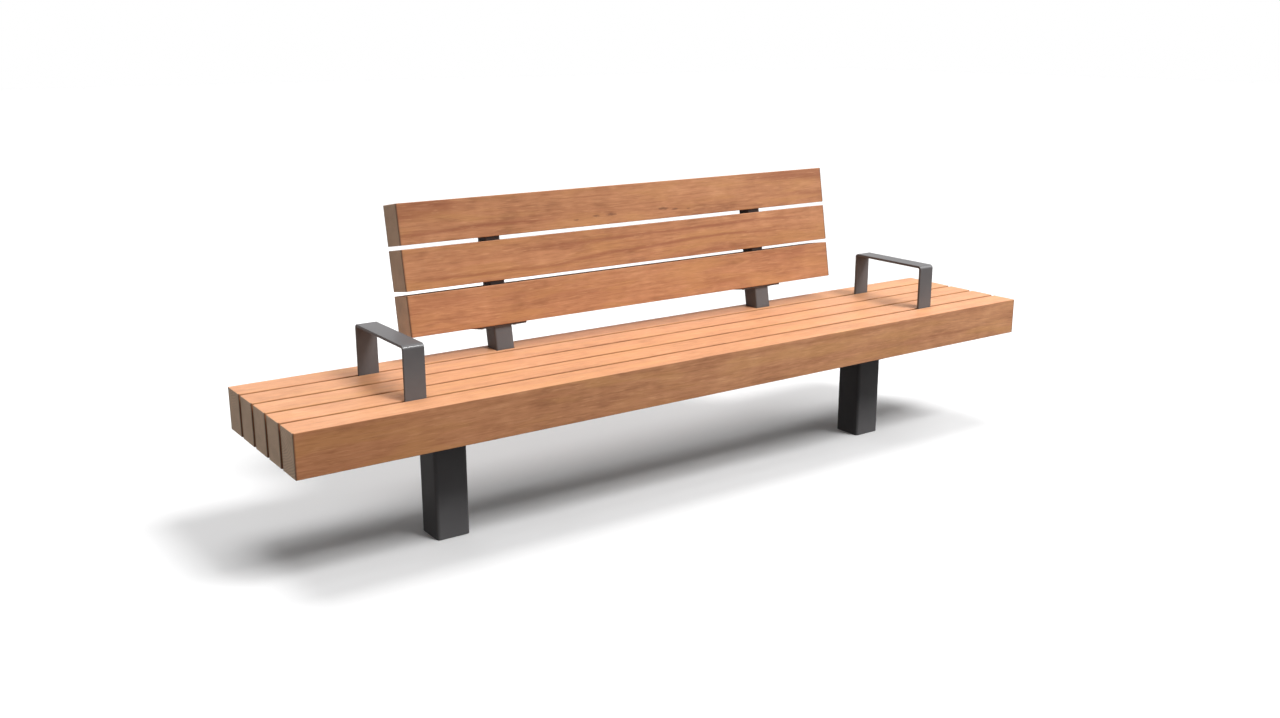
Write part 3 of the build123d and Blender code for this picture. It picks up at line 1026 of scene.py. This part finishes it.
def sun(name, azimuth, tilt, spread, strength):
    """A distant lamp. Azimuth turns from the bench's rear towards its right, tilt from straight above."""
    lamp = bpy.data.lights.new(name, "SUN")
    lamp.energy = strength
    lamp.angle = math.radians(spread)
    turned = math.radians(azimuth)
    tipped = math.radians(tilt)
    aside = math.sin(tipped)
    towards = Vector((math.sin(turned) * aside, math.cos(turned) * aside, math.cos(tipped)))
    holder = bpy.data.objects.new(name, lamp)
    holder.rotation_euler = towards.to_track_quat("Z", "Y").to_euler()
    bpy.context.scene.collection.objects.link(holder)


sun("key_light", azimuth=152.0, tilt=40.0, spread=19.0, strength=0.71 * math.pi)
sun("overhead_light", azimuth=20.0, tilt=3.5, spread=30.0, strength=0.49 * math.pi)


def softbox(name, place, aim, size, strength, mirrored=True):
    """A round soft lamp. A surface at its aim, square to it, shows its own colour times the strength."""
    lamp = bpy.data.lights.new(name, "AREA")
    lamp.shape = "DISK"
    lamp.size = size
    towards = Vector(place) - Vector(aim)
    lamp.energy = strength * math.pi**2 * towards.length_squared
    holder = bpy.data.objects.new(name, lamp)
    holder.location = place
    holder.rotation_euler = towards.to_track_quat("Z", "Y").to_euler()
    holder.visible_glossy = mirrored
    bpy.context.scene.collection.objects.link(holder)


# One beyond the right end brightens that end, and weak ones fill the sawn ends on the left and the rear
softbox("right_softbox", (2.63, -1.52, 2.20), (0, 0, 0.45), size=2.5, strength=0.30)
softbox("left_fill", (-2.7, -0.3, 0.75), (-1.3, 0, 0.4), size=0.9, strength=0.080)
softbox("rear_fill", (0, 3.4, 0.8), (0, 0.2, 0.45), size=2.4, strength=0.16, mirrored=False)

sky = bpy.data.worlds.new("sky")
bpy.context.scene.world = sky
sky.use_nodes = True
tree = sky.node_tree
horizon_light = 0.02
zenith_light = 0.30
front_light = 0.62
front_azimuth = math.radians(166)
towards = Socket.node(tree, "ShaderNodeTexCoord", output="Generated")
upness = Socket.node(tree, "ShaderNodeSeparateXYZ", inputs={0: towards}, output="Z")
upness = upness.math("MAXIMUM", upness, 0.0)
lowness = 1 - upness
ahead = Socket.node(
    tree,
    "ShaderNodeVectorMath",
    {"operation": "DOT_PRODUCT"},
    {0: towards, 1: (math.sin(front_azimuth), math.cos(front_azimuth), 0)},
    "Value",
)
ahead = ahead.math("MAXIMUM", ahead, 0.0)
strength = horizon_light + zenith_light * upness + front_light * (ahead * lowness) ** 2.0
light = Socket.node(tree, "ShaderNodeBackground", inputs={"Color": (1, 1, 1, 1), "Strength": strength})
white = Socket.node(tree, "ShaderNodeBackground", inputs={"Color": (1, 1, 1, 1), "Strength": 1.0})
mixed = Socket.node(tree, "ShaderNodeMixShader", inputs={0: seen_directly(tree), 1: light, 2: white})
Socket.feed(tree.nodes["World Output"].inputs["Surface"], mixed)

# Camera
# It stands in front of the bench's left end, well above the seat, and looks down along it. Its place and
# its lens were worked out from the corners of the bench in the photo.

image_width = 1280
focal_pixels = 1240.55
lens = bpy.data.cameras.new("camera")
lens.sensor_width = 36.0
lens.lens = lens.sensor_width * focal_pixels / image_width
camera = bpy.data.objects.new("camera", lens)
camera_yaw = 0.61148
camera_pitch = 0.25926
camera_roll = -0.00094
aim = Matrix.Rotation(-camera_yaw, 3, "Z") @ Matrix.Rotation(math.pi / 2 - camera_pitch, 3, "X")
camera.location = (-2.22102, -2.97765, 1.36489)
camera.rotation_euler = (aim @ Matrix.Rotation(camera_roll, 3, "Z")).to_euler()
bpy.context.scene.collection.objects.link(camera)
bpy.context.scene.camera = camera
bpy.context.scene.view_settings.view_transform = "Standard"
